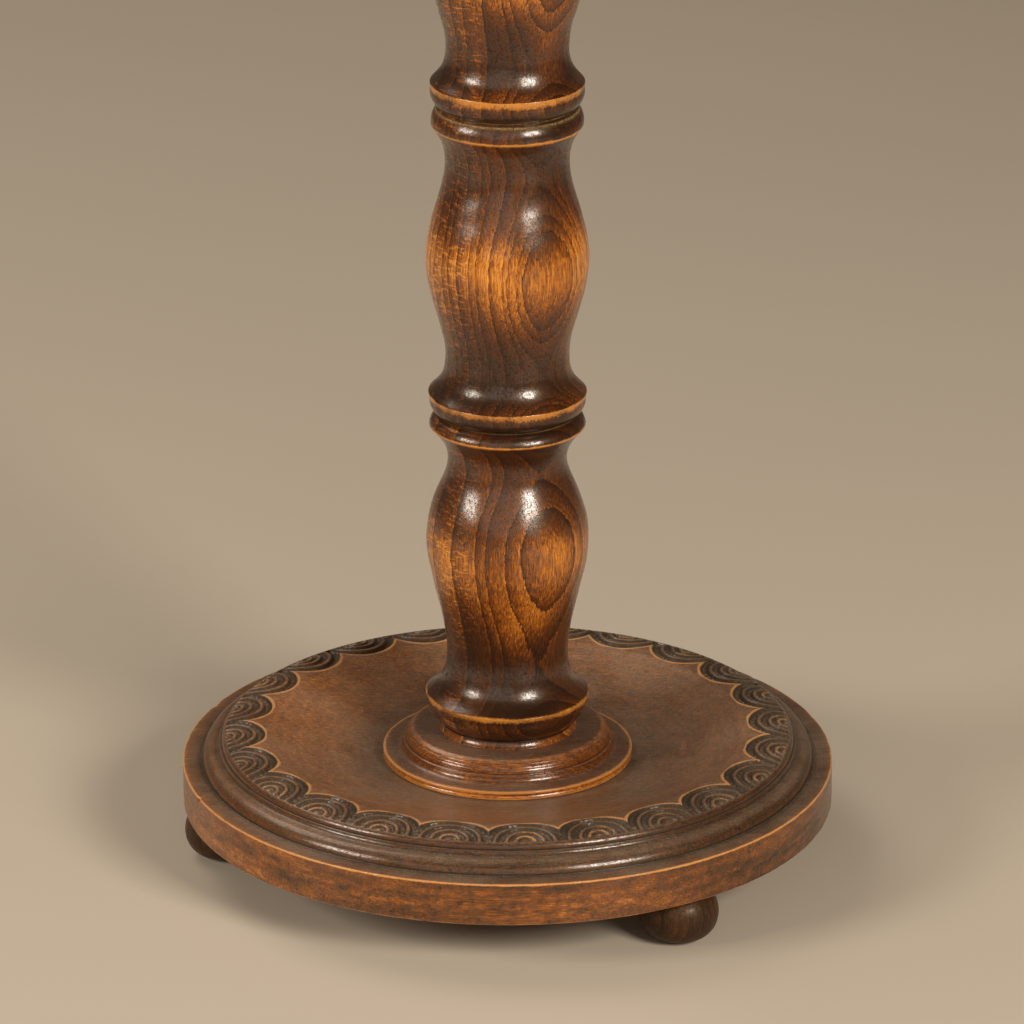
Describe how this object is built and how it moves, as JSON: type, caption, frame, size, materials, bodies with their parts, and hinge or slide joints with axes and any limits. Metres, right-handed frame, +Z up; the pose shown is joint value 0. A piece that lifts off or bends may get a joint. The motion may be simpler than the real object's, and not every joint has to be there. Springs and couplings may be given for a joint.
{
  "type": "floor candlestick",
  "caption": "Turned wooden floor candlestick: baluster column in stacked sections on a round carved base with ball feet; lift-out brass candle liner.",
  "frame": {"origin": "middle of the base, on the floor under the feet", "axes": "+Z up along the column; +X and +Y level, -Y towards the front"},
  "size_m": [0.3, 0.3, 0.7851],
  "materials": {
    "turned_wood": "stained beech, glossy shellac, worn orange on the edges",
    "base_wood": "stained beech, satin, carved band with dark recesses",
    "foot_wood": "dark stained, satin",
    "dowel_wood": "plain beech, unfinished",
    "zinc_steel": "zinc plated",
    "spun_brass": "spun, lightly tarnished"
  },
  "bodies": {
    "stand": {"base_board_front": "base_wood", "base_board_middle": "base_wood", "base_board_rear": "base_wood", "base_dowel": "dowel_wood", "candle_nozzle": "turned_wood", "capital": "turned_wood", "coach_screw": "zinc_steel", "collar": "turned_wood", "column_section_1": "turned_wood", "column_section_2": "turned_wood", "column_section_3": "turned_wood", "column_section_4": "turned_wood", "drip_dish": "turned_wood", "foot_back": "foot_wood", "foot_dowel_back": "dowel_wood", "foot_dowel_front_right": "dowel_wood", "foot_dowel_left": "dowel_wood", "foot_front_right": "foot_wood", "foot_left": "foot_wood", "joint_dowel_1": "dowel_wood", "joint_dowel_2": "dowel_wood", "joint_dowel_3": "dowel_wood", "joint_dowel_4": "dowel_wood", "washer": "zinc_steel"},
    "liner": {"brass_liner": "spun_brass"}
  },
  "joints": [
    {"name": "liner_lift", "type": "slide", "parent": "stand", "child": "liner", "axis": [0, 0, 1], "range_m": [0, 0.045]}
  ]
}
